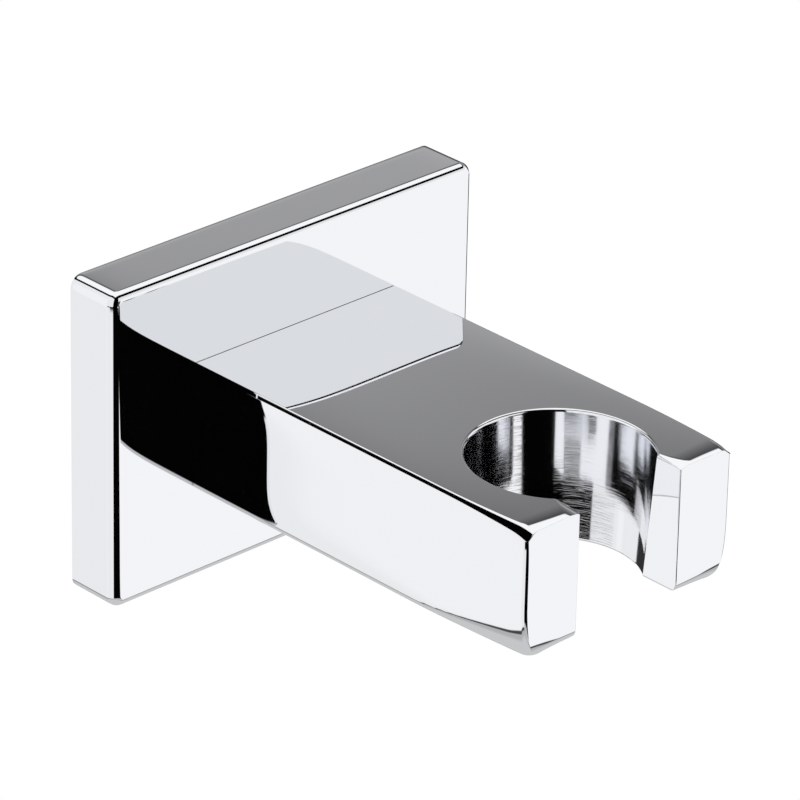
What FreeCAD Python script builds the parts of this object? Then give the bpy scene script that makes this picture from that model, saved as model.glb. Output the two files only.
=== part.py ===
# Hand shower holder for a wall: a hollow cover plate, a solid square arm with a
# slotted conical socket at its tip, and the wall bracket that both hang on.
# The wall is the plane Y = 0, the arm points along -Y, and +Z is up. All sizes are in mm.

import FreeCAD, Part
import math
import os

V = FreeCAD.Vector

# Cover plate, open at the back
plate_width = 60.0
plate_height = 42.8
plate_depth = 7.8
plate_front_wall = 3.2
plate_side_wall = 2.4
plate_corner_radius = 1.65
plate_edge_radius = 1.2
pocket_corner_radius = 1.2

# Arm, whose top and bottom dip over the last stretch, where the polishing wheel ran off the tip.
# Its middle lies arm_drop below the plate's middle.
arm_width = 34.2
arm_height = 17.2
arm_reach = 66.0
arm_drop = 0.2
tip_drop = 0.4
tip_run = 3.4
top_edge_radius = 0.7
bottom_edge_radius = 0.8
front_edge_radius = 0.6

# Conical socket for the hose nut, and the slot that lets the hose in
socket_to_tip = 11.8
socket_top_diameter = 23.0
socket_bottom_diameter = 21.0
slot_width = 16.8
rim_radius = 0.4
bottom_rim_radius = 0.3

# Countersunk screws that hold the arm to the plate from inside
arm_screw_spacing = 19.0
arm_screw_diameter = 4.0
arm_screw_length = 12.0
arm_screw_head_diameter = 7.6
arm_screw_hex = 2.5
arm_screw_hex_depth = 1.5
arm_screw_hole_clearance = 0.2
tapped_extra_depth = 2.0
thread_clearance = 0.03

# Cast bracket that fills the back of the plate
bracket_thickness = 4.0
bracket_clearance = 0.15
wall_hole_spacing = 38.0
wall_hole_diameter = 4.6
wall_screw_head_diameter = 8.8
notch_clearance = 0.3

# Grub screw that clamps the plate to the bracket from below
grub_diameter = 4.0
grub_length = 6.0
grub_hex = 2.0
grub_hex_depth = 2.2
grub_from_wall = 3.2
grub_recess = 0.3
grub_boss_width = 9.0
grub_boss_height = 2.8
grub_boss_setback = 0.3
grub_nose_bite = 0.7

# How far a cutting tool runs past the face that it opens
overrun = 1.0

# Places that follow from the sizes above
pocket_depth = plate_depth - plate_front_wall
pocket_width = plate_width - 2 * plate_side_wall
pocket_height = plate_height - 2 * plate_side_wall
pocket_floor_y = -pocket_depth
socket_distance = arm_reach - socket_to_tip
arm_screw_head_height = (arm_screw_head_diameter - arm_screw_diameter) / 2
boss_top_z = -pocket_height / 2 + grub_boss_height
grub_bottom_z = -plate_height / 2 + grub_recess
grub_tip_z = grub_bottom_z + grub_length


def middle(edge):
    return edge.valueAt((edge.FirstParameter + edge.LastParameter) / 2)


def edges_where(shape, test):
    return [edge for edge in shape.Edges if test(edge, middle(edge))]


def hexagon_prism(across_flats, base, direction, depth):
    # A broached socket: a regular hexagon swept from its mouth inwards
    radius = across_flats / math.sqrt(3)
    turn = FreeCAD.Rotation(V(0, 0, 1), direction)
    corners = [V(radius * math.cos(math.radians(60 * i)), radius * math.sin(math.radians(60 * i)), 0)
               for i in range(7)]
    outline = Part.makePolygon([base + turn.multVec(corner) for corner in corners])
    return Part.Face(outline).extrude(direction * depth)


def rounded_block(width, height, depth, corner_radius):
    # A block on the wall plane that stands out along -Y, with its four Y edges rounded
    block = Part.makeBox(width, depth, height, V(-width / 2, -depth, -height / 2))
    corners = edges_where(block, lambda edge, point: abs(edge.tangentAt(edge.FirstParameter).y) > 0.5)
    return block.makeFillet(corner_radius, corners)


def fillet_each(shape, radii):
    # Rounds several edges in one go: radii holds (edge number, radius at its start, at its end)
    document = FreeCAD.newDocument("rounding")
    blank = document.addObject("Part::Feature", "blank")
    blank.Shape = shape
    rounding = document.addObject("Part::Fillet", "rounding")
    rounding.Base = blank
    rounding.Edges = radii
    document.recompute()
    rounded = rounding.Shape.copy()
    FreeCAD.closeDocument(document.Name)
    return rounded


def make_cover_plate():
    plate = rounded_block(plate_width, plate_height, plate_depth, plate_corner_radius)
    front = edges_where(plate, lambda edge, point: abs(point.y + plate_depth) < 1e-6)
    plate = plate.makeFillet(plate_edge_radius, front)
    pocket = rounded_block(pocket_width, pocket_height, pocket_depth, pocket_corner_radius)
    plate = plate.cut(pocket)

    # The boss grows out of the bottom wall and the front wall, so its block starts inside both
    boss_bottom_z = -pocket_height / 2 - plate_side_wall / 2
    boss = Part.makeBox(grub_boss_width,
                        plate_depth - plate_front_wall / 2 - grub_boss_setback,
                        boss_top_z - boss_bottom_z,
                        V(-grub_boss_width / 2, -plate_depth + plate_front_wall / 2, boss_bottom_z))
    plate = plate.fuse(boss)
    grub_hole = Part.makeCylinder(grub_diameter / 2 + thread_clearance,
                                  boss_top_z + plate_height / 2 + 2 * overrun,
                                  V(0, -grub_from_wall, -plate_height / 2 - overrun),
                                  V(0, 0, 1))
    plate = plate.cut(grub_hole)

    for x in arm_screw_places():
        plate = plate.cut(countersunk_hole(x, pocket_floor_y,
                                           arm_screw_diameter + 2 * arm_screw_hole_clearance,
                                           arm_screw_head_diameter + 2 * thread_clearance,
                                           plate_front_wall))
    return plate.removeSplitter()


def countersunk_hole(x, mouth_y, hole_diameter, head_diameter, depth, direction=-1):
    # A 90 degree countersink whose wide mouth is at mouth_y, drilled on towards direction * Y
    sink_depth = (head_diameter - hole_diameter) / 2
    axis = V(0, direction, 0)
    mouth = V(x, mouth_y, 0)
    sink = Part.makeCone(head_diameter / 2, hole_diameter / 2, sink_depth, mouth, axis)
    drill = Part.makeCylinder(hole_diameter / 2, depth + 2 * overrun, mouth - axis * overrun, axis)
    return sink.fuse(drill)


def arm_screw_places():
    return (-arm_screw_spacing / 2, arm_screw_spacing / 2)


def make_arm_blank():
    # The side outline: straight rails that end in shallow arcs, which dip towards the tip
    x = -arm_width / 2
    half = arm_height / 2
    run_off_y = -arm_reach + tip_run
    dip_radius = (tip_run ** 2 + tip_drop ** 2) / (2 * tip_drop)
    half_way_dip = dip_radius - math.sqrt(dip_radius ** 2 - (tip_run / 2) ** 2)

    def rail(side):
        start = V(x, -plate_depth, side * half)
        run_off = V(x, run_off_y, side * half)
        half_way = V(x, run_off_y - tip_run / 2, side * (half - half_way_dip))
        tip = V(x, -arm_reach, side * (half - tip_drop))
        return Part.makeLine(start, run_off), Part.Arc(run_off, half_way, tip).toShape(), start, tip

    top_line, top_arc, top_start, top_tip = rail(1)
    bottom_line, bottom_arc, bottom_start, bottom_tip = rail(-1)
    outline = Part.Wire([top_line, top_arc, Part.makeLine(top_tip, bottom_tip),
                         bottom_arc, bottom_line, Part.makeLine(bottom_start, top_start)])
    return Part.Face(outline).extrude(V(arm_width, 0, 0))


def round_arm_blank(blank):
    radii = []
    for number, edge in enumerate(blank.Edges, 1):
        point = middle(edge)
        along = abs(edge.tangentAt(edge.FirstParameter).y) > 0.5
        if along and point.z > 0:
            radii.append((number, top_edge_radius, top_edge_radius))
        elif along:
            radii.append((number, bottom_edge_radius, bottom_edge_radius))
        elif abs(point.y + arm_reach) < 1e-6:
            radii.append((number, front_edge_radius, front_edge_radius))
    return fillet_each(blank, radii)


def cut_socket(arm):
    # The taper holds the nut, and the slot is cut from its axis out through the tip
    half = arm_height / 2
    taper = (socket_top_diameter - socket_bottom_diameter) / 2 / arm_height
    cone = Part.makeCone(socket_bottom_diameter / 2 - taper * overrun,
                         socket_top_diameter / 2 + taper * overrun,
                         arm_height + 2 * overrun,
                         V(0, -socket_distance, -half - overrun))
    cone.rotate(V(0, -socket_distance, 0), V(0, 0, 1), -90)
    slot = Part.makeBox(slot_width,
                        socket_to_tip + overrun,
                        arm_height + 2 * overrun,
                        V(-slot_width / 2, -arm_reach - overrun, -half - overrun))
    arm = arm.cut(cone.fuse(slot))

    def on_rim(point, side):
        # The rim is a circle arc in the plane of the arm's top or bottom face
        diameter = socket_top_diameter if side > 0 else socket_bottom_diameter
        off_axis = math.hypot(point.x, point.y + socket_distance)
        return abs(off_axis - diameter / 2) < 1e-3 and abs(point.z - side * half) < 1e-3

    def on_slot_top(point):
        on_wall = abs(abs(point.x) - slot_width / 2) < 1e-6
        return on_wall and point.z > half - tip_drop and point.y > -arm_reach + front_edge_radius

    radii = []
    for number, edge in enumerate(arm.Edges, 1):
        point = middle(edge)
        if on_rim(point, 1) or on_slot_top(point):
            radii.append((number, rim_radius, rim_radius))
        elif on_rim(point, -1):
            radii.append((number, bottom_rim_radius, bottom_rim_radius))
    return fillet_each(arm, radii)


def make_holder_arm():
    arm = cut_socket(round_arm_blank(make_arm_blank()))
    arm.translate(V(0, 0, -arm_drop))
    depth = arm_screw_length - plate_front_wall + tapped_extra_depth
    for x in arm_screw_places():
        tapped = Part.makeCylinder(arm_screw_diameter / 2 + thread_clearance, depth,
                                   V(x, -plate_depth, 0), V(0, -1, 0))
        drill_point = Part.makeCone(arm_screw_diameter / 2 + thread_clearance, 0, arm_screw_diameter / 3,
                                    V(x, -plate_depth - depth, 0), V(0, -1, 0))
        arm = arm.cut(tapped.fuse(drill_point))
    return arm


def make_arm_screws():
    screws = []
    for x in arm_screw_places():
        seat = V(x, pocket_floor_y, 0)
        inwards = V(0, -1, 0)
        head = Part.makeCone(arm_screw_head_diameter / 2, arm_screw_diameter / 2,
                             arm_screw_head_height, seat, inwards)
        shank = Part.makeCylinder(arm_screw_diameter / 2, arm_screw_length, seat, inwards)
        socket = hexagon_prism(arm_screw_hex, seat, inwards, arm_screw_hex_depth)
        screws.append(head.fuse(shank).removeSplitter().cut(socket))
    return Part.makeCompound(screws)


def make_wall_bracket():
    bracket = rounded_block(pocket_width - 2 * bracket_clearance, pocket_height, bracket_thickness,
                            pocket_corner_radius)
    shaved = Part.makeBox(plate_width, plate_depth, bracket_clearance,
                          V(-plate_width / 2, -plate_depth, -pocket_height / 2))
    bracket = bracket.cut(shaved)
    notch_width = grub_boss_width + 2 * notch_clearance
    notch_top_z = grub_tip_z - grub_nose_bite
    notch = Part.makeBox(notch_width, bracket_thickness + 2 * overrun, notch_top_z + plate_height / 2,
                         V(-notch_width / 2, -bracket_thickness - overrun, -plate_height / 2))
    bracket = bracket.cut(notch).cut(grub_nose(thread_clearance))
    for side in (-1, 1):
        bracket = bracket.cut(countersunk_hole(side * wall_hole_spacing / 2, -bracket_thickness,
                                               wall_hole_diameter, wall_screw_head_diameter,
                                               bracket_thickness, 1))
    return bracket


def grub_nose(lift):
    # The 90 degree point of the grub screw, raised by lift to cut the dimple that it bites in
    return Part.makeCone(grub_diameter / 2, 0, grub_diameter / 2,
                         V(0, -grub_from_wall, grub_tip_z - grub_diameter / 2 + lift), V(0, 0, 1))


def make_grub_screw():
    bottom = V(0, -grub_from_wall, grub_bottom_z)
    shank = Part.makeCylinder(grub_diameter / 2, grub_length - grub_diameter / 2, bottom, V(0, 0, 1))
    socket = hexagon_prism(grub_hex, bottom, V(0, 0, 1), grub_hex_depth)
    return shank.fuse(grub_nose(0)).removeSplitter().cut(socket)


os.makedirs("parts", exist_ok=True)
nodes = {
    "cover_plate": make_cover_plate(),
    "holder_arm": make_holder_arm(),
    "arm_screws": make_arm_screws(),
    "wall_bracket": make_wall_bracket(),
    "grub_screw": make_grub_screw(),
}
for name, shape in nodes.items():
    shape.exportStep("parts/" + name + ".step")
    print(name, "solids", len(shape.Solids), "valid", shape.isValid(), "volume", round(shape.Volume, 1))
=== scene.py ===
# Chrome wall holder for a hand shower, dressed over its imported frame. Metres, +Z up, the arm points to -Y.
import bpy, bmesh, math
from functools import cache
from mathutils import Matrix, Vector
from mathutils.geometry import tessellate_polygon


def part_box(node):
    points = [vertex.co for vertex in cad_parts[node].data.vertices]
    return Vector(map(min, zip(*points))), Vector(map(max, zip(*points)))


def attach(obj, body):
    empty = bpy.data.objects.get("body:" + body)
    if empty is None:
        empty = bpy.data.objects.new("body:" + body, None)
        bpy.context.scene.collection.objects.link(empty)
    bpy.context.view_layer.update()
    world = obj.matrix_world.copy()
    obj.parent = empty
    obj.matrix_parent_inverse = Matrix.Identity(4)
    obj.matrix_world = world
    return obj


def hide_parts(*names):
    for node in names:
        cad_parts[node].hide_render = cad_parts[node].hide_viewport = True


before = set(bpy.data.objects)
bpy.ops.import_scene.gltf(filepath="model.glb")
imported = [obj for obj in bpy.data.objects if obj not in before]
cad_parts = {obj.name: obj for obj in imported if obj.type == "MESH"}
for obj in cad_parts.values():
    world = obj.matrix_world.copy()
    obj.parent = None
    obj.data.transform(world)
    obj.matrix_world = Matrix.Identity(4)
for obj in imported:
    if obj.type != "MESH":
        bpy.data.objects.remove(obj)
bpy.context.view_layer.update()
print("frame loaded")

mm = 0.001
scene = bpy.context.scene


# helpers for colours, nodes, materials, new objects and packed sizes

def linear(hexColour):
    # an sRGB hex value as linear red, green, blue and alpha
    parts = [int(hexColour[i:i + 2], 16) / 255 for i in (1, 3, 5)]
    return (*(c / 12.92 if c <= 0.04045 else ((c + 0.055) / 1.055) ** 2.4 for c in parts), 1)


def grey(level):
    return (level, level, level, 1)


def node(tree, kind, *inputs, out=0, **settings):
    # adds a node with its settings, fills its inputs in order (None leaves one as it is), gives one output
    made = tree.nodes.new(kind)
    for key, value in settings.items():
        setattr(made, key, value)
    for socket, value in zip(made.inputs, inputs):
        if isinstance(value, bpy.types.NodeSocket):
            tree.links.new(value, socket)
        elif value is not None:
            socket.default_value = value
    return made if out is None else made.outputs[out]


toColours = (None,) * 5  # the Mix node's other sockets, which stand between its factor and its two colours


def newMaterial(name, tone, roughness, metallic=1.0):
    material = bpy.data.materials.new(name)
    material.use_nodes = True
    shader = material.node_tree.nodes["Principled BSDF"]
    shader.inputs["Base Color"].default_value = linear(tone)
    shader.inputs["Roughness"].default_value = roughness
    shader.inputs["Metallic"].default_value = metallic
    return material, material.node_tree, shader


def newObject(name, data):
    made = bpy.data.objects.new(name, data)
    scene.collection.objects.link(made)
    return made


def packedCorners(name):
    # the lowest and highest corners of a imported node, in mm
    return [[round(c / mm, 3) for c in corner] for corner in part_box(name)]


# camera: a long lens, fitted to the photograph's edges; angles in degrees, place in metres

cameraFacts = {"azimuth": -43.899, "elevation": 26.753, "roll": 1.265, "lens": 265.5, "sensor": 36.0,
               "position": (-0.4455, -0.4895, 0.3288), "nearest": 0.01}


def makeCamera():
    azimuth, elevation, roll = (math.radians(cameraFacts[k]) for k in ("azimuth", "elevation", "roll"))
    back = Vector((math.sin(azimuth) * math.cos(elevation), -math.cos(azimuth) * math.cos(elevation),
                   math.sin(elevation)))
    right = (-back).cross(Vector((0, 0, 1))).normalized()
    up = right.cross(-back)
    rolledRight = right * math.cos(roll) + up * math.sin(roll)
    rolledUp = up * math.cos(roll) - right * math.sin(roll)
    data = bpy.data.cameras.new("camera")
    data.lens = cameraFacts["lens"]
    data.sensor_width = cameraFacts["sensor"]
    data.clip_start = cameraFacts["nearest"]
    camera = newObject("camera", data)
    turned = Matrix((rolledRight, rolledUp, back)).transposed().to_4x4()
    camera.matrix_world = Matrix.Translation(cameraFacts["position"]) @ turned
    scene.camera = camera


makeCamera()
print("camera placed")


# studio: white paper all round, a table below, and the panels and the wall that the metal mirrors.
# Each panel covers a range of directions: round and high in degrees, east and north as slopes of the
# upward ray, lean as round that slants with height. Later panels lie in front of earlier ones.

studio = {"paper": 0.97, "tableHeight": -0.30, "tableSize": 6.0, "grainSize": 1.11,
          "panels": [
              # paper at the left, at the right and below, and the dark line where it bends
              {"tone": 0.88, "soft": 3.0, "round": (110, 229)},
              {"tone": 0.94, "soft": 3.0, "round": (142.5, 152)},
              {"tone": "#E9EAE9", "soft": 6.0, "round": (285, 360), "high": (14, 60)},
              {"tone": 0.60, "soft": 3.0, "high": (-90, -40)},
              {"tone": 0.46, "soft": 4.0, "high": (-45, -40)},
              {"tone": 0.06, "soft": 1.2, "high": (-40.4, -38)},
              {"tone": 0.50, "soft": 1.5, "round": (229, 300), "high": (-45, -34)},
              # dark and black panels round the camera, and a black one overhead
              {"tone": 0.08, "soft": 4.0, "round": (255, 298), "high": (-18, 10)},
              {"tone": 0.0008, "soft": 1.5, "round": (229, 360), "lean": (0, 300), "high": (-35, 90)},
              {"tone": 0.0008, "soft": 1.0, "round": (192, 232), "high": (-24.2, -12)},
              {"tone": 0.02, "soft": 4.0, "round": (160, 200), "high": (-20, -13)},
              {"tone": 0.0008, "soft": 0.02, "east": (-0.62, 9), "north": (-1.1, 9), "up": (0.5, 2)},
              # the wall beyond the holder, two dark strips at its foot, and the light overhead
              {"tone": "wall", "soft": 2.0, "round": (6, 108), "high": (-15, 42)},
              {"tone": 0.03, "soft": 3.0, "round": (6, 38), "high": (-33, -20)},
              {"tone": 0.03, "soft": 3.0, "round": (74, 108), "high": (-33, -15)},
              {"tone": 1.0, "soft": 0.02, "east": (-0.31, 9), "north": (-0.36, 9), "up": (0.656, 2)}],
          # the wall's grey by height, how blue it is, and by how much it sits lower before that turn
          "wallTones": [(-75, 0.02), (5, 0.06), (17, 0.20), (22, 0.42), (25.2, 0.345), (27.2, 0.275),
                        (33, 0.17), (41, 0.07)],
          "wallBlue": 1.01, "wallTurn": (52.5, 56.5), "wallLower": 1.4,
          # lean slants between these heights, by so many degrees round for each one up
          "leanHigh": (-32.0, -22.0), "leanPerDegree": 3.6,
          # round starts this far before +X, where no panel crosses it
          "roundShift": 10.0, "flattestRay": 0.02}


def makeWorld():
    world = bpy.data.worlds.new("studio")
    world.use_nodes = True
    scene.world = world
    tree = world.node_tree
    direction = node(tree, "ShaderNodeTexCoord")
    x, y, z = node(tree, "ShaderNodeSeparateXYZ", direction, out=None).outputs
    high = node(tree, "ShaderNodeMath", z, operation="ARCSINE")
    high = node(tree, "ShaderNodeMath", high, operation="DEGREES")
    heading = node(tree, "ShaderNodeMath", y, x, operation="ARCTAN2")
    heading = node(tree, "ShaderNodeMath", heading, operation="DEGREES")
    turned = node(tree, "ShaderNodeMath", heading, 360.0 + studio["roundShift"], operation="ADD")
    turned = node(tree, "ShaderNodeMath", turned, 360.0, operation="MODULO")
    leanLow, leanTop = studio["leanHigh"]
    run = studio["leanPerDegree"] * (leanTop - leanLow) / 2
    slant = node(tree, "ShaderNodeMapRange", high, leanLow, leanTop, -run, run)
    rise = node(tree, "ShaderNodeMath", z, studio["flattestRay"], operation="MAXIMUM")
    places = {"round": turned, "high": high, "up": z,
              "lean": node(tree, "ShaderNodeMath", turned, slant, operation="ADD"),
              "east": node(tree, "ShaderNodeMath", x, rise, operation="DIVIDE"),
              "north": node(tree, "ShaderNodeMath", y, rise, operation="DIVIDE")}
    lower = node(tree, "ShaderNodeMapRange", turned, *studio["wallTurn"], studio["wallLower"], 0.0)
    level = node(tree, "ShaderNodeMath", lower, high, operation="ADD")
    lowest, highest = studio["wallTones"][0][0], studio["wallTones"][-1][0]
    level = node(tree, "ShaderNodeMapRange", level, lowest, highest, 0.0, 1.0)
    wall = node(tree, "ShaderNodeValToRGB", level, out=None)
    stops = wall.color_ramp.elements
    while len(stops) < len(studio["wallTones"]):
        stops.new(0.5)
    for stop, (height, tone) in zip(stops, studio["wallTones"]):
        stop.position = (height - lowest) / (highest - lowest)
        stop.color = (tone, tone, tone * studio["wallBlue"], 1)
    light = grey(studio["paper"])
    for panel in studio["panels"]:
        soft, amount = panel["soft"], 1.0
        for name, place in places.items():
            for i, edge in enumerate(panel.get(name, ())):
                near, far = (edge - soft / 2, edge + soft / 2)[::-1 if i else 1]
                covered = node(tree, "ShaderNodeMapRange", place, near, far, 0.0, 1.0,
                               interpolation_type="SMOOTHSTEP")
                amount = node(tree, "ShaderNodeMath", covered, amount, operation="MULTIPLY")
        tone = panel["tone"]
        if tone == "wall":
            tone = wall.outputs[0]
        else:
            tone = linear(tone) if isinstance(tone, str) else grey(tone)
        light = node(tree, "ShaderNodeMix", amount, *toColours, light, tone, out=2, data_type="RGBA")
    # the camera sees plain white
    seen = node(tree, "ShaderNodeLightPath")
    light = node(tree, "ShaderNodeMix", seen, *toColours, light, grey(1), out=2, data_type="RGBA")
    tree.links.new(light, tree.nodes["Background"].inputs["Color"])


def makeTable():
    # Matt white paper, uncoated, with a fine grain. It lies far below, and the camera sees it as plain white.
    material, tree, shader = newMaterial("mattWhitePaper", "#FAFAFA", 0.9, 0.0)
    grain = node(tree, "ShaderNodeTexNoise", node(tree, "ShaderNodeTexCoord", out="Object"), None,
                 1 / (studio["grainSize"] * mm))
    relief = node(tree, "ShaderNodeBump", 0.2, 0.2 * mm, None, grain)
    tree.links.new(relief, shader.inputs["Normal"])
    white = node(tree, "ShaderNodeEmission", grey(1), 1.0)
    seen = node(tree, "ShaderNodeLightPath")
    mixed = node(tree, "ShaderNodeMixShader", seen, shader.outputs[0], white)
    tree.links.new(mixed, tree.nodes["Material Output"].inputs["Surface"])
    half = studio["tableSize"] / 2
    corners = [(-half, -half), (half, -half), (half, half), (-half, half)]
    mesh = bpy.data.meshes.new("table")
    mesh.from_pydata([(x, y, studio["tableHeight"]) for x, y in corners], [], [(0, 1, 2, 3)])
    mesh.materials.append(material)
    table = newObject("table", mesh)
    table.visible_glossy = False


makeWorld()
makeTable()
print("studio built")


# a mesh that keeps its own smooth normals: each face comes as corners of (position in mm, normal)

class Shell:
    def __init__(self):
        self.points, self.index, self.faces, self.normals = [], {}, [], []

    def add(self, corners):
        # corners that fall together are one corner
        ids, kept = [], []
        for position, normal in corners:
            key = tuple(round(c, 3) for c in position)
            if key not in self.index:
                self.index[key] = len(self.points)
                self.points.append([c * mm for c in position])
            if self.index[key] not in ids:
                ids.append(self.index[key])
                kept.append(tuple(normal))
        if len(ids) > 2:
            self.faces.append(ids)
            self.normals.extend(kept)

    def flat(self, loops, normal):
        # a flat face with holes, cut into triangles
        normal = Vector(normal)
        loops = [[Vector(p) for p in loop] for loop in loops]
        every = [p for loop in loops for p in loop]
        for triangle in tessellate_polygon(loops):
            corners = [every[i] for i in triangle]
            if (corners[1] - corners[0]).cross(corners[2] - corners[0]).dot(normal) < 0:
                corners.reverse()
            self.add([(p, normal) for p in corners])

    def make(self, name, material):
        mesh = bpy.data.meshes.new(name)
        mesh.from_pydata(self.points, [], self.faces)
        mesh.polygons.foreach_set("use_smooth", [True] * len(self.faces))
        mesh.normals_split_custom_set(self.normals)
        mesh.materials.append(material)
        return newObject(name, mesh)


# the arm: a square bar with a conical socket and a slot. The polishing wheel left its edges bevelled and
# rounder towards the tip. It is lofted in levels, from the rim of its flat top down to its flat underside.
# Sizes are in mm and tilts in degrees.

armLow, armHigh = packedCorners("holder_arm")
arm = {"halfWidth": armHigh[0], "back": -armHigh[1], "reach": -armLow[1], "top": armHigh[2],
       "bottom": armLow[2],
       "gap": 0.08, "gapDepth": 0.5,  # the fine step round its back, which shows as a dark joint
       "socketAxis": 54.2, "socketTop": 11.5, "socketBottom": 10.5, "slotHalf": 8.4, "slotFrom": 62.0,
       # upper edges of the sides, as (on the bar, at the tip)
       "bevelTilt": 38.5, "bevelRun": (0.42, 1.12), "bevelRound": (0.22, 0.64), "crisp": (0.05, 0.15),
       "bevelFrom": 50.0, "bevelGrowth": 2,
       # a stretch near the plate where the sides turn very slightly
       "swell": 0.0136, "swellPlace": 21.5, "swellRun": 9.0,
       # upper edge of the tip, and its lower edge as a rounding across and high, as (at the slot, outside)
       "frontRun": (2.6, 3.2), "frontTilts": (13.0, 18.0), "frontCrisp": 0.03, "frontGrowth": 1.5,
       "frontAcross": (1.1, 0.45), "frontHigh": (1.1, 2.4), "frontUnderGrowth": 4,
       # edges of the socket and of the slot, the slot's growing towards the tip
       "rimRun": 0.16, "rimTilt": 34.0, "rimCrisp": 0.48, "slotRun": 2.2, "slotTilt": 23.0, "slotCrisp": 0.04,
       "slotGrowth": (1.0, 1.5), "slotUnder": 0.35,
       # lower edges of the sides, as (on the bar, at the tip), and how much higher they end
       "underAcross": (0.66, 1.6), "underHigh": (0.85, 6.0), "underFrom": 47.0, "underGrowth": 1.7,
       "tipRise": 1.3, "tipRiseSpan": (63.0, 65.5),
       # upright corners of the tip, at the top, down the wall and at the underside
       "cornerTop": 0.12, "cornerWall": 0.55, "cornerUnder": 1.8, "slotCornerTop": 0.8,
       "slotCornerWall": 0.15,
       # tapped holes in the back
       "tapSpacing": 19.0, "tapRadius": 2.03, "tapDepth": 10.8, "tapPoint": 1.33}

# how finely the arm is divided, and how much closer its levels and stations lie towards their ends
armSteps = {"round": 12, "turn": 7, "under": 22, "side": 60, "outerCorner": 12, "front": 20, "slotCorner": 8,
            "slot": 16, "socket": 160, "tap": 32, "underCloser": 2.2, "sideCloser": 1.8}
pastUpright = 1.6  # a tilt in radians that only the roundings of the lower edges have
bevelLevel = armSteps["round"] + 2  # the last level before the turn into the wall
topLevels = bevelLevel + 1 + armSteps["turn"]
# the levels' heights above the underside, up to where its tallest rounding starts
tallest, lastUnder = arm["underHigh"][1] + arm["tipRise"], armSteps["under"] - 1
lifts = [tallest * (1 - i / lastUnder) ** armSteps["underCloser"] for i in range(lastUnder + 1)]


def share(value, low, high):
    return min(max((value - low) / (high - low), 0.0), 1.0)


def between(ends, t):
    return ends[0] + (ends[1] - ends[0]) * t


def topProfile(tilt, run, bevel, crisp, growth=1.0):
    # an edge seen in section, from the flat top outwards, as (distance in from the wall, drop, tilt):
    # a rounding of the given run up to the tilt, a flat bevel, and a crisp turn down into the wall
    tilt, steps = math.radians(tilt), armSteps["round"]
    across, drop, places = 0.0, 0.0, [(0.0, 0.0, 0.0)]
    for i in range(1, steps + 1):
        a = tilt * ((i - 0.5) / steps) ** growth
        across, drop = across + run / steps * math.cos(a), drop + run / steps * math.sin(a)
        places.append((across, drop, tilt * (i / steps) ** growth))
    for _ in range(2):
        across, drop = across + bevel / 2 * math.cos(tilt), drop + bevel / 2 * math.sin(tilt)
        places.append((across, drop, tilt))
    for i in range(1, armSteps["turn"] + 1):
        a = tilt + (math.pi / 2 - tilt) * i / armSteps["turn"]
        places.append((across + crisp * (math.sin(a) - math.sin(tilt)),
                       drop + crisp * (math.cos(tilt) - math.cos(a)), a))
    width = places[-1][0]
    return [(width - reached, fallen, a) for reached, fallen, a in places]


def underPlace(across, high, lift):
    # the elliptical rounding into the underside at one height above it, as (distance in, tilt)
    if lift >= high:
        return 0.0, math.pi / 2
    a = math.asin(1 - lift / high)
    return across * (1 - math.cos(a)), math.pi / 2 + math.atan2(math.sin(a) / high, math.cos(a) / across)


@cache
def armPlaces(where, along):
    # one stretch of the outline, level by level, as (distance in, height, tilt). Along is the distance from
    # the wall behind the plate, and on the front the distance from the middle.
    across = high = arm["slotUnder"]
    if where == "side":
        late = share(along, arm["bevelFrom"], arm["reach"]) ** arm["bevelGrowth"]
        top = topProfile(arm["bevelTilt"], between(arm["bevelRound"], late), between(arm["bevelRun"], late),
                         between(arm["crisp"], late))
        late = share(along, arm["underFrom"], arm["reach"]) ** arm["underGrowth"]
        across, high = between(arm["underAcross"], late), between(arm["underHigh"], late)
        high += arm["tipRise"] * share(along, *arm["tipRiseSpan"]) ** 2
    elif where == "front":
        t = share(along, arm["slotHalf"], arm["halfWidth"])
        top = topProfile(between(arm["frontTilts"], t), between(arm["frontRun"], t), 0, arm["frontCrisp"],
                         arm["frontGrowth"])
        late = t ** arm["frontUnderGrowth"]
        across, high = between(arm["frontAcross"], late), between(arm["frontHigh"], late)
    elif where == "slot":
        t = share(along, arm["slotFrom"], arm["reach"])
        crisp = between((arm["rimCrisp"], arm["slotCrisp"]), t ** 0.5)
        top = topProfile(between((arm["rimTilt"], arm["slotTilt"]), t),
                         between((arm["rimRun"], arm["slotRun"]), t), 0, crisp, between(arm["slotGrowth"], t))
    else:
        top = topProfile(arm["rimTilt"], arm["rimRun"], 0, arm["rimCrisp"])
    under = [(*underPlace(across, high, lift), lift) for lift in lifts]
    return ([(inward, arm["top"] - drop, tilt) for inward, drop, tilt in top]
            + [(inward, arm["bottom"] + lift, tilt) for inward, tilt, lift in under])


def dropAt(places, inward):
    # how far the top has fallen, and how steep it is, that far in from the wall
    for outer, inner in zip(places[bevelLevel:0:-1], places[bevelLevel - 1::-1]):
        if inward <= inner[0]:
            t = max((inward - outer[0]) / max(inner[0] - outer[0], 1e-6), 0.0)
            return arm["top"] - between((outer[1], inner[1]), t), math.tan(between((outer[2], inner[2]), t))
    return 0.0, 0.0


def tilted(across, forward, tilt):
    return Vector((across * math.sin(tilt), forward * math.sin(tilt), math.cos(tilt)))


def coneRadius(z):
    t = (z - arm["bottom"]) / (arm["top"] - arm["bottom"])
    return between((arm["socketBottom"], arm["socketTop"]), t)


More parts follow.
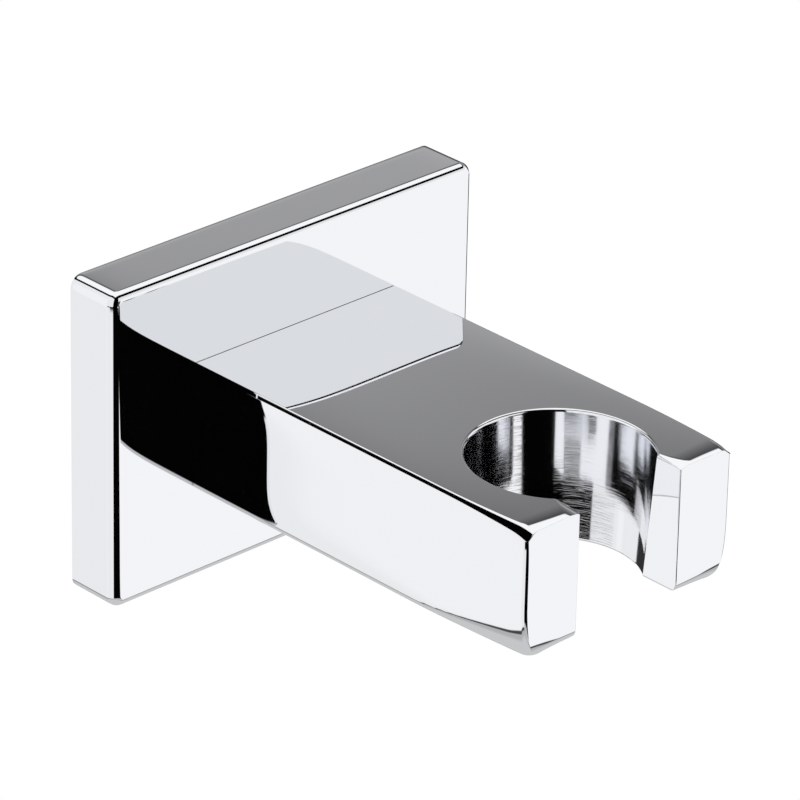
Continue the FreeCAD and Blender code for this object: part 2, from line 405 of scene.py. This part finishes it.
def topPoint(x, y):
    # the crowned top of a prong for x < 0: the falls towards its side, its tip and its slot add up
    fallSide, steepSide = dropAt(armPlaces("side", round(-y, 2)), x + arm["halfWidth"])
    fallTip, steepTip = dropAt(armPlaces("front", round(-x, 2)), y + arm["reach"])
    fallSlot, steepSlot = 0.0, 0.0
    if -y > arm["slotFrom"]:
        fallSlot, steepSlot = dropAt(armPlaces("slot", round(-y, 2)), -x - arm["slotHalf"])
    normal = Vector((steepSlot - steepSide, -steepTip, 1)).normalized()
    return arm["top"] - fallSide - fallTip - fallSlot, normal


def sideTurn(y):
    # how far the side's normal turns towards the plate there
    away = min(abs(y + arm["swellPlace"]) / arm["swellRun"], 1)
    return arm["swell"] * math.cos(away * math.pi / 2) ** 2


def cornerArc(centre, radius, start, before, after, count):
    # a quarter turn between two stretches, over which height and tilt pass from one to the other
    stations = []
    for i in range(1, count):
        t = i / count
        angle = start + math.pi / 2 * t
        # on the lower edges the corner keeps the first stretch's height and tilt for longer
        soft = t ** 3 if before[2] > pastUpright else t * t * (3 - 2 * t)
        facing = (math.cos(angle), math.sin(angle))
        stations.append((centre[0] + facing[0] * radius, centre[1] + facing[1] * radius,
                         between((before[1], after[1]), soft), facing, between((before[2], after[2]), soft)))
    return stations


def armHalf(level):
    # half of the outline at one level, for x < 0, as (x, y, height, facing, tilt)
    turn = share(level, bevelLevel, topLevels - 1)
    # the outer corner widens only close to the underside
    under = share(level, topLevels, topLevels + len(lifts) - 1) ** 4
    outerRadius = between((between((arm["cornerTop"], arm["cornerWall"]), turn), arm["cornerUnder"]), under)
    slotRadius = between((arm["slotCornerTop"], arm["slotCornerWall"]), share(level, 0, bevelLevel))
    half, tip, slot = arm["halfWidth"], -arm["reach"], arm["slotHalf"]
    outerFront, slotFront = armPlaces("front", half)[level], armPlaces("front", slot)[level]
    # along the side, from the plate to the outer corner
    start, yOuter = -arm["back"] - arm["gap"], tip + outerFront[0] + outerRadius
    stations, steps = [], armSteps["side"]
    for i in range(steps + 1):
        y = start + (yOuter - start) * (1 - (1 - i / steps) ** armSteps["sideCloser"])
        inward, z, tilt = armPlaces("side", round(-y, 2))[level]
        stations.append((inward - half, y, z, (-1, sideTurn(y)), tilt))
    outerSide = armPlaces("side", round(-yOuter, 2))[level]
    xOuter = outerSide[0] + outerRadius - half
    stations += cornerArc((xOuter, yOuter), outerRadius, math.pi, outerSide, outerFront,
                          armSteps["outerCorner"])
    # across the front of the prong to the slot
    slotTip, steps = armPlaces("slot", arm["reach"])[level], armSteps["front"]
    xSlot, ySlot = -(slot + slotTip[0] + slotRadius), tip + slotFront[0] + slotRadius
    for i in range(steps + 1):
        inward, z, tilt = (between(pair, i / steps) for pair in zip(outerFront, slotFront))
        stations.append((between((xOuter, xSlot), i / steps), tip + inward, z, (0, -1), tilt))
    stations += cornerArc((xSlot, ySlot), slotRadius, -math.pi / 2, slotFront, slotTip,
                          armSteps["slotCorner"])
    # along the slot to where it meets the socket
    rim, slotEnd = armPlaces("rim", 0)[level], armPlaces("slot", arm["slotFrom"])[level]
    radius, steps = coneRadius(rim[1]) + rim[0], armSteps["slot"]
    yMeet = -arm["socketAxis"] - math.sqrt(radius ** 2 - (slot + slotEnd[0]) ** 2)
    for i in range(steps + 1):
        inward, z, tilt = (between(pair, i / steps) for pair in zip(slotTip, slotEnd))
        stations.append((-(slot + inward), between((ySlot, yMeet), i / steps), z, (1, 0), tilt))
    return stations


def armLevels():
    # the half outline at every level as (position, normal), its top levels laid on the crowned top
    raw = [armHalf(level) for level in range(topLevels + len(lifts))]
    rows, edges = [], [topPoint(x, y) for x, y, _, _, _ in raw[bevelLevel]]
    for level, stations in enumerate(raw):
        row = []
        for i, (x, y, z, facing, tilt) in enumerate(stations):
            normal = tilted(*facing, tilt)
            if level <= bevelLevel:
                z, normal = topPoint(x, y)
            elif level < topLevels:
                z += edges[i][0] - raw[bevelLevel][i][2]
                turn = (level - bevelLevel) / (topLevels - 1 - bevelLevel)
                normal = edges[i][1].slerp(Vector((*facing, 0)), turn)
            row.append(((x, y, z), normal))
        rows.append(row)
    return rows


def armSocket(level):
    # the socket's wall, from the left prong round the back to the right one
    (inward, z, tilt), slotEnd = armPlaces("rim", 0)[level], armPlaces("slot", arm["slotFrom"])[level]
    radius, steps = coneRadius(z) + inward, armSteps["socket"]
    half = math.asin((arm["slotHalf"] + slotEnd[0]) / radius)
    taper = math.atan((arm["socketTop"] - arm["socketBottom"]) / (arm["top"] - arm["bottom"]))
    stations = []
    for i in range(steps + 1):
        # the cone's taper counts on its wall and fades out in the roundings at both ends
        angle = half + (math.tau - 2 * half) * i / steps
        stations.append(((-radius * math.sin(angle), -arm["socketAxis"] - radius * math.cos(angle), z),
                         tilted(math.sin(angle), math.cos(angle), tilt - taper * math.sin(tilt) ** 4)))
    return stations


def withoutDoubles(outline):
    return [p for i, p in enumerate(outline) if math.dist(p, outline[i - 1]) > 1e-3]


def addTappedHole(shell, middle):
    # a blind hole with a pointed end in the arm's back, gives its rim
    y, radius, steps = -arm["back"], arm["tapRadius"], armSteps["tap"]
    turns = [math.tau * i / steps for i in range(steps)]
    rim = [(middle + radius * math.cos(a), y, radius * math.sin(a)) for a in turns]
    facing = [(-math.cos(a), 0, -math.sin(a)) for a in turns]
    deep = [(p[0], y - arm["tapDepth"], p[2]) for p in rim]
    point = (middle, y - arm["tapDepth"] - arm["tapPoint"], 0)
    for i in range(steps):
        j = (i + 1) % steps
        shell.add([(rim[i], facing[i]), (deep[i], facing[i]), (deep[j], facing[j]), (rim[j], facing[j])])
        shell.add([(deep[i], facing[i]), (point, (0, 1, 0)), (deep[j], facing[j])])
    return rim


def addArmBack(shell, outer):
    # the back lies on the plate but for a fine step round its edge, and has two tapped holes
    centre, scale = (arm["top"] + arm["bottom"]) / 2, 1 - arm["gapDepth"] / arm["halfWidth"]
    inner = [(x * scale, y, centre + (z - centre) * scale) for x, y, z in outer]
    back = [(x, -arm["back"], z) for x, _, z in inner]
    shell.flat([outer, inner], (0, 1, 0))
    for i in range(len(inner)):
        a, b = inner[i - 1], inner[i]
        outward = Vector((a[0] + b[0], 0, a[2] + b[2] - 2 * centre)).normalized()
        shell.add([(a, outward), (back[i - 1], outward), (back[i], outward), (b, outward)])
    rims = [addTappedHole(shell, side * arm["tapSpacing"] / 2) for side in (-1, 1)]
    shell.flat([back] + rims, (0, 1, 0))


def makeArm(material):
    rows = []
    for level, left in enumerate(armLevels()):
        right = [((-p[0], p[1], p[2]), (-n[0], n[1], n[2])) for p, n in reversed(left)]
        rows.append((left, armSocket(level), right))
    shell = Shell()
    for upper, lower in zip(rows, rows[1:]):
        for a, b in zip(upper, lower):
            for i in range(len(a) - 1):
                shell.add([a[i], b[i], b[i + 1], a[i + 1]])
    for row, normal in ((rows[0], (0, 0, 1)), (rows[-1], (0, 0, -1))):
        shell.flat([withoutDoubles([station[0] for part in row for station in part])], normal)
    ends = [row[0][0][0] for row in rows] + [row[2][-1][0] for row in reversed(rows)]
    addArmBack(shell, withoutDoubles(ends))
    return shell.make("armBody", material)


# the cover plate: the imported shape, merged, its rounded outer skin given the exact normals of a rounded block

plateLow, plateHigh = packedCorners("cover_plate")
plate = {"halfWidth": plateHigh[0], "halfHeight": plateHigh[2], "depth": -plateLow[1], "cornerRadius": 1.65,
         "edgeRadius": 1.2, "skin": 0.03}


def plateNormal(position, own):
    # the rounded block's normal at a point on it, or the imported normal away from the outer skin
    x, y, z = position
    corner, edge = plate["cornerRadius"], plate["edgeRadius"]
    across = max(abs(x) - (plate["halfWidth"] - corner), 0.0)
    along = max(abs(z) - (plate["halfHeight"] - corner), 0.0)
    away = math.hypot(across, along)
    out, forward = away - (corner - edge), -y - (plate["depth"] - edge)
    depth = math.hypot(max(out, 0.0), max(forward, 0.0)) - edge if forward > 0 else out - edge
    facesBack = own.y > 0.7
    if abs(depth) > plate["skin"] or facesBack:
        return own
    if out <= 1e-4:
        return Vector((0, -1, 0))
    if forward < 1e-4:
        forward = 0.0
    turned = (math.copysign(across, x) / away * out, -forward, math.copysign(along, z) / away * out)
    return Vector(turned).normalized()


def makePlate(material):
    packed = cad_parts["cover_plate"]
    turn, normals = packed.matrix_world, packed.data.corner_normals
    shell = Shell()
    for polygon in packed.data.polygons:
        corners = []
        for k in polygon.loop_indices:
            position = turn @ packed.data.vertices[packed.data.loops[k].vertex_index].co / mm
            own = (turn.to_3x3() @ normals[k].vector).normalized()
            corners.append((position, plateNormal(position, own)))
        shell.add(corners)
    return shell.make("plateBody", material)


# the screws: a turned core with a hexagon socket. Geometry Nodes wind the thread round it and repeat the
# screw. Sizes are in mm, and a screw is made along +Z with its mouth at z 0.

screws = {"arm": {"count": 2, "spacing": arm["tapSpacing"], "core": 1.62, "crest": 1.98, "pitch": 0.7,
                  "turns": 11.5, "hex": 2.5, "hexDepth": 1.5, "length": 12.0, "head": 3.8, "headHigh": 1.8,
                  "tipLength": 0.5},
          "grub": {"count": 1, "spacing": 0.0, "core": 1.66, "crest": 1.98, "pitch": 0.7,
                   "turns": 4.6, "hex": 2.0, "hexDepth": 2.2, "length": 6.0, "head": 1.62, "headHigh": 0.35,
                   "tipLength": 1.7},
          "both": {"sides": 48, "chamfer": 0.12, "hexMouth": 1.06, "hexPoint": 0.4, "tipShare": 0.15,
                   "tipPoint": 0.03, "sharpAngle": 28.0, "threadSteps": 40}}


def makeCore(name, facts, material):
    # the turned profile with the socket sunk into its mouth
    both = screws["both"]
    sides, chamfer, length = both["sides"], both["chamfer"], facts["length"]
    turns = [math.tau * i / sides for i in range(sides)]
    hexagon = [facts["hex"] / 2 / math.cos(a % (math.pi / 3) - math.pi / 6) for a in turns]
    mesh = bmesh.new()
    profile = [(facts["head"] - chamfer, 0.0), (facts["head"], chamfer),
               (facts["core"], facts["headHigh"] + chamfer), (facts["core"], length - facts["tipLength"]),
               (facts["core"] * both["tipShare"], length - both["tipPoint"])]
    wider = [r * both["hexMouth"] for r in hexagon]
    rings = [(hexagon, facts["hexDepth"]), (hexagon, chamfer), (wider, 0)]
    rings += [([radius] * sides, z) for radius, z in profile]
    rings = [[mesh.verts.new((r * math.cos(a) * mm, r * math.sin(a) * mm, z * mm))
              for r, a in zip(radii, turns)] for radii, z in rings]
    floor = mesh.verts.new((0, 0, (facts["hexDepth"] + both["hexPoint"]) * mm))
    tip = mesh.verts.new((0, 0, length * mm))
    for lower, upper in zip(rings, rings[1:]):
        for i in range(sides):
            mesh.faces.new((lower[i - 1], upper[i - 1], upper[i], lower[i]))
    for i in range(sides):
        mesh.faces.new((rings[0][i - 1], rings[0][i], floor))
        mesh.faces.new((rings[-1][i], rings[-1][i - 1], tip))
    bmesh.ops.recalc_face_normals(mesh, faces=mesh.faces)
    data = bpy.data.meshes.new(name)
    mesh.to_mesh(data)
    mesh.free()
    data.materials.append(material)
    data.polygons.foreach_set("use_smooth", [True] * len(data.polygons))
    data.set_sharp_from_angle(angle=math.radians(both["sharpAngle"]))
    return newObject(name, data)


def makeThreadTree(material):
    # a coil of triangular section from the screw's mouth on, joined to its core, and the whole repeated
    # on a line
    tree = bpy.data.node_groups.new("threadedScrews", "GeometryNodeTree")
    tree.interface.new_socket("Core", in_out="INPUT", socket_type="NodeSocketGeometry")
    for name, kind in (("Count", "Int"), ("Spacing", "Float"), ("Crest", "Float"), ("Pitch", "Float"),
                       ("Turns", "Float")):
        tree.interface.new_socket(name, in_out="INPUT", socket_type="NodeSocket" + kind)
    tree.interface.new_socket("Screws", in_out="OUTPUT", socket_type="NodeSocketGeometry")
    given = node(tree, "NodeGroupInput", out=None).outputs
    height = node(tree, "ShaderNodeMath", given["Pitch"], given["Turns"], operation="MULTIPLY")
    depth = node(tree, "ShaderNodeMath", given["Pitch"], 0.5, operation="MULTIPLY")
    inner = node(tree, "ShaderNodeMath", given["Crest"], depth, operation="SUBTRACT")
    coil = node(tree, "GeometryNodeCurveSpiral", screws["both"]["threadSteps"], given["Turns"], inner, inner,
                height)
    section = node(tree, "GeometryNodeCurvePrimitiveCircle", 3, None, None, None, depth, mode="RADIUS")
    thread = node(tree, "GeometryNodeCurveToMesh", coil, section, out=None)
    thread.inputs["Fill Caps"].default_value = True
    one = node(tree, "GeometryNodeJoinGeometry", out=None)
    tree.links.new(thread.outputs[0], one.inputs[0])
    tree.links.new(given["Core"], one.inputs[0])
    gap = node(tree, "ShaderNodeCombineXYZ", given["Spacing"], 0.0, 0.0)
    back = node(tree, "ShaderNodeMath", given["Count"], -1.0, operation="ADD")
    back = node(tree, "ShaderNodeMath", back, -0.5, operation="MULTIPLY")
    back = node(tree, "ShaderNodeMath", back, given["Spacing"], operation="MULTIPLY")
    first = node(tree, "ShaderNodeCombineXYZ", back, 0.0, 0.0)
    line = node(tree, "GeometryNodeMeshLine", given["Count"], None, first, gap, mode="OFFSET")
    placed = node(tree, "GeometryNodeInstanceOnPoints", line, None, one.outputs[0])
    solid = node(tree, "GeometryNodeRealizeInstances", placed)
    finished = node(tree, "GeometryNodeSetMaterial", solid, None, material)
    node(tree, "NodeGroupOutput", finished, out=None)
    return tree


def makeScrews(name, facts, material, place):
    core = makeCore(name + "Core", facts, material)
    tree = makeThreadTree(material)
    sockets = {s.name: s.identifier for s in tree.interface.items_tree if s.in_out == "INPUT"}
    wind = core.modifiers.new("thread", "NODES")
    wind.node_group = tree
    for label, value in (("Count", facts["count"]), ("Spacing", facts["spacing"] * mm),
                         ("Crest", facts["crest"] * mm), ("Pitch", facts["pitch"] * mm),
                         ("Turns", facts["turns"])):
        wind[sockets[label]] = value
    core.update_tag()
    bpy.context.view_layer.update()
    made = bpy.data.meshes.new_from_object(core.evaluated_get(bpy.context.evaluated_depsgraph_get()))
    bpy.data.objects.remove(core)
    made.transform(place)
    made.name = name
    return newObject(name, made)


# the finishes: colours in sRGB hex, roughness from 0 to 1, sizes of patterns in mm, heights of bumps in mm

finish = {"chrome": {"tone": "#F6F7FA", "roughness": 0.02, "hazeSize": 3.85, "hazeSpan": (0.35, 0.7),
                     "hazeSwing": (0.5, 1.5)},
          # how far a polished face falls from its middle to its edges along x, y and z, and how late
          "platePillow": {"middle": (0, -plate["depth"] / 2, 0),
                          "half": (plate["halfWidth"], plate["depth"] / 2, plate["halfHeight"]),
                          "fall": (0.12, 0.04, 0.08), "power": 14.0},
          "armPillow": {"middle": (0, 0, (arm["top"] + arm["bottom"]) / 2),
                        "half": (arm["halfWidth"], arm["reach"], (arm["top"] - arm["bottom"]) / 2),
                        "fall": (0.10, 0.5, 0.22), "power": 5.0},
          # the socket's turned rings, their size along its axis and how far one runs round it, and where they
          # end: at that radius, and in the slot, which starts that far in front of the axis
          "turning": {"size": 0.11, "run": 4.5, "height": 0.0026, "markSpan": (0.5, 0.8), "roughness": 0.06,
                      "radius": arm["socketTop"] + 0.2, "fade": 0.12, "slotHalf": arm["slotHalf"] + 0.05,
                      "slotFrom": 5.8},
          "zincCasting": {"tone": "#BFC0C2", "roughness": (0.34, 0.52), "dentSize": 0.714, "grainSize": 0.385,
                          "height": 0.06},
          "zincPlate": {"tones": ("#C4CCD6", "#D8D9D2"), "roughness": (0.16, 0.30), "bloomSize": 1.11},
          "stainless": {"tone": "#B9B8B4", "roughness": (0.20, 0.36), "lineSize": 0.667, "lineShare": 12.0},
          "noiseSpan": (0.3, 0.7)}  # nearly all values of a Noise texture lie there


def addPillow(tree, place, pillow, where=1.0):
    # hand polishing leaves the faces a little full in the middle and lower towards the edges
    height = 0.0
    axes = node(tree, "ShaderNodeSeparateXYZ", place, out=None).outputs
    for axis, middle, half, fall in zip(axes, pillow["middle"], pillow["half"], pillow["fall"]):
        away = node(tree, "ShaderNodeMath", axis, middle * mm, operation="SUBTRACT")
        away = node(tree, "ShaderNodeMath", away, half * mm, operation="DIVIDE")
        away = node(tree, "ShaderNodeMath", away, operation="ABSOLUTE")
        late = node(tree, "ShaderNodeMath", away, pillow["power"], operation="POWER")
        height = node(tree, "ShaderNodeMath", late, -fall * mm, height, operation="MULTIPLY_ADD")
    return node(tree, "ShaderNodeBump", where, 1.0, None, height)


def addHaze(tree, place):
    # chrome's faint haze from wiping, as a roughness that wanders round the finish's own
    chrome = finish["chrome"]
    haze = node(tree, "ShaderNodeTexNoise", place, None, 1 / (chrome["hazeSize"] * mm), 3.0)
    least, most = (chrome["roughness"] * swing for swing in chrome["hazeSwing"])
    return node(tree, "ShaderNodeMapRange", haze, *chrome["hazeSpan"], least, most)


def makeChrome():
    # Bright chrome plate over hand-polished brass: a clean mirror, whose faces are never quite flat
    chrome = finish["chrome"]
    material, tree, shader = newMaterial("brightChromeOnPolishedBrass", chrome["tone"], chrome["roughness"])
    place = node(tree, "ShaderNodeTexCoord", out="Object")
    tree.links.new(addPillow(tree, place, finish["platePillow"]), shader.inputs["Normal"])
    tree.links.new(addHaze(tree, place), shader.inputs["Roughness"])
    return material


def makeTurnedChrome():
    # Chrome over brass, polished outside and left as turned in the socket, where rings break the mirror up
    chrome, turning = finish["chrome"], finish["turning"]
    material, tree, shader = newMaterial("chromeOnTurnedBrass", chrome["tone"], chrome["roughness"])
    place = node(tree, "ShaderNodeTexCoord", out="Object")
    x, y, z = node(tree, "ShaderNodeSeparateXYZ", place, out=None).outputs
    y = node(tree, "ShaderNodeMath", y, arm["socketAxis"] * mm, operation="ADD")
    away = node(tree, "ShaderNodeCombineXYZ", x, y, 0.0)
    radius = node(tree, "ShaderNodeVectorMath", away, operation="LENGTH", out="Value")
    inside = node(tree, "ShaderNodeMapRange", radius, turning["radius"] * mm,
                  (turning["radius"] - turning["fade"]) * mm, 0.0, 1.0)
    # the slot's flat walls are polished again, but they aren't full
    across = node(tree, "ShaderNodeMath", x, operation="ABSOLUTE")
    narrow = node(tree, "ShaderNodeMath", across, turning["slotHalf"] * mm, operation="LESS_THAN")
    ahead = node(tree, "ShaderNodeMath", y, -turning["slotFrom"] * mm, operation="LESS_THAN")
    slot = node(tree, "ShaderNodeMath", narrow, ahead, operation="MULTIPLY")
    either = node(tree, "ShaderNodeMath", slot, inside, operation="MAXIMUM")
    outside = node(tree, "ShaderNodeMath", 1.0, either, operation="SUBTRACT")
    inside = node(tree, "ShaderNodeMath", inside, slot, operation="SUBTRACT", use_clamp=True)
    # the tool's marks are finer in truth, and are drawn as coarse as they need to be to show
    sizes = (turning["run"], turning["run"], turning["size"])
    axes = [node(tree, "ShaderNodeMath", axis, 1 / (size * mm), operation="MULTIPLY")
            for axis, size in zip((x, y, z), sizes)]
    marks = node(tree, "ShaderNodeTexNoise", node(tree, "ShaderNodeCombineXYZ", *axes), None, 1.0, 2.0, 0.6)
    marks = node(tree, "ShaderNodeMapRange", marks, *turning["markSpan"], 0.0, 1.0)
    full = addPillow(tree, place, finish["armPillow"], outside)
    turned = node(tree, "ShaderNodeBump", inside, turning["height"] * mm, None, marks, full)
    tree.links.new(turned, shader.inputs["Normal"])
    rough = node(tree, "ShaderNodeMath", inside, turning["roughness"], addHaze(tree, place),
                 operation="MULTIPLY_ADD")
    tree.links.new(rough, shader.inputs["Roughness"])
    return material


def makeTumbledZinc():
    # Zinc casting tumbled in stones: dull grey, with a close grain of small dents
    casting = finish["zincCasting"]
    material, tree, shader = newMaterial("tumbledCastZinc", casting["tone"], max(casting["roughness"]))
    place = node(tree, "ShaderNodeTexCoord", out="Object")
    dents = node(tree, "ShaderNodeTexVoronoi", place, None, 1 / (casting["dentSize"] * mm))
    grain = node(tree, "ShaderNodeTexNoise", place, None, 1 / (casting["grainSize"] * mm), 4.0)
    both = node(tree, "ShaderNodeMath", grain, 0.5, dents, operation="MULTIPLY_ADD")
    relief = node(tree, "ShaderNodeBump", 0.5, casting["height"] * mm, None, both)
    tree.links.new(relief, shader.inputs["Normal"])
    rough = node(tree, "ShaderNodeMapRange", grain, *finish["noiseSpan"], *casting["roughness"])
    tree.links.new(rough, shader.inputs["Roughness"])
    return material


def makeZincPlate():
    # Steel turned and rolled, then bright zinc plated: a cool white metal with a fine blue haze
    plating = finish["zincPlate"]
    cool, warm = plating["tones"]
    material, tree, shader = newMaterial("brightZincPlatedSteel", cool, max(plating["roughness"]))
    place = node(tree, "ShaderNodeTexCoord", out="Object")
    bloom = node(tree, "ShaderNodeTexNoise", place, None, 1 / (plating["bloomSize"] * mm), 3.0)
    tint = node(tree, "ShaderNodeMix", bloom, *toColours, linear(cool), linear(warm), out=2, data_type="RGBA")
    tree.links.new(tint, shader.inputs["Base Color"])
    rough = node(tree, "ShaderNodeMapRange", bloom, *finish["noiseSpan"], *plating["roughness"])
    tree.links.new(rough, shader.inputs["Roughness"])
    return material


def makeStainless():
    # Plain stainless steel, drawn and machined: grey, with fine lines round the screw
    steel = finish["stainless"]
    material, tree, shader = newMaterial("machinedStainlessSteel", steel["tone"], max(steel["roughness"]))
    place = node(tree, "ShaderNodeTexCoord", out="Object")
    x, y, z = node(tree, "ShaderNodeSeparateXYZ", place, out=None).outputs
    z = node(tree, "ShaderNodeMath", z, steel["lineShare"], operation="MULTIPLY")
    squeezed = node(tree, "ShaderNodeCombineXYZ", x, y, z)
    lines = node(tree, "ShaderNodeTexNoise", squeezed, None, 1 / (steel["lineSize"] * mm), 2.0)
    rough = node(tree, "ShaderNodeMapRange", lines, *finish["noiseSpan"], *steel["roughness"])
    tree.links.new(rough, shader.inputs["Roughness"])
    return material


plateChrome = makeChrome()
armChrome = makeTurnedChrome()
screwZinc = makeZincPlate()
bracketZinc = makeTumbledZinc()
grubSteel = makeStainless()
print("materials made")

armBody = makeArm(armChrome)
plateBody = makePlate(plateChrome)
print("arm and plate built")

# the arm screws run from their heads towards the tip, the grub screw upwards from the plate's bottom wall
headsAt = packedCorners("arm_screws")[1][1]
towardsTip = Matrix.Translation((0, headsAt * mm, 0)) @ Matrix.Rotation(math.radians(90), 4, "X")
armScrews = makeScrews("armScrews", screws["arm"], screwZinc, towardsTip)
grubLow, grubHigh = packedCorners("grub_screw")
upwards = Matrix.Translation((0, (grubLow[1] + grubHigh[1]) / 2 * mm, grubLow[2] * mm))
grubScrew = makeScrews("grubScrew", screws["grub"], grubSteel, upwards)
print("screws built")

for piece, slotName, nodeName in ((armBody, "arm_chrome", "holder_arm"),
                                  (plateBody, "plate_chrome", "cover_plate"),
                                  (armScrews, "zinc_plated_steel", "arm_screws"),
                                  (grubScrew, "stainless_steel", "grub_screw")):
    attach(piece, "root")
    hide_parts(nodeName)
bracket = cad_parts["wall_bracket"]
for holder in bracket.material_slots:
    holder.material = bracketZinc

scene.view_settings.view_transform = "Standard"
